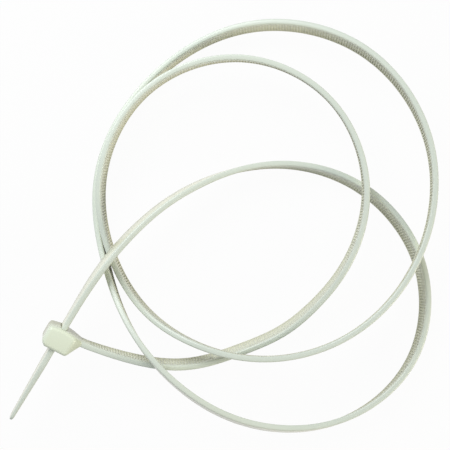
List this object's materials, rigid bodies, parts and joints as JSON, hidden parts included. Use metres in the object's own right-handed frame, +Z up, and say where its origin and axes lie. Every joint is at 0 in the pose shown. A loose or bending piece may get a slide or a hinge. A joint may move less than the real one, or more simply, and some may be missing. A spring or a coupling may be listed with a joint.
{
  "type": "cable tie",
  "caption": "One-piece nylon cable tie with a toothed strap and a ratchet head, closed through its own head and lying in a loose coil.",
  "frame": {"origin": "middle of the coil's bounding box, on the surface it lies on", "axes": "+Z up, across the strap's width, which stands on edge; +X toward the right of the coil with the head at the left; +Y toward the back"},
  "size_m": [0.1582, 0.157, 0.023],
  "materials": {
    "nylon": "natural nylon, semi-gloss and slightly translucent"
  },
  "bodies": {
    "root": {"cable_tie": "nylon"}
  },
  "joints": []
}
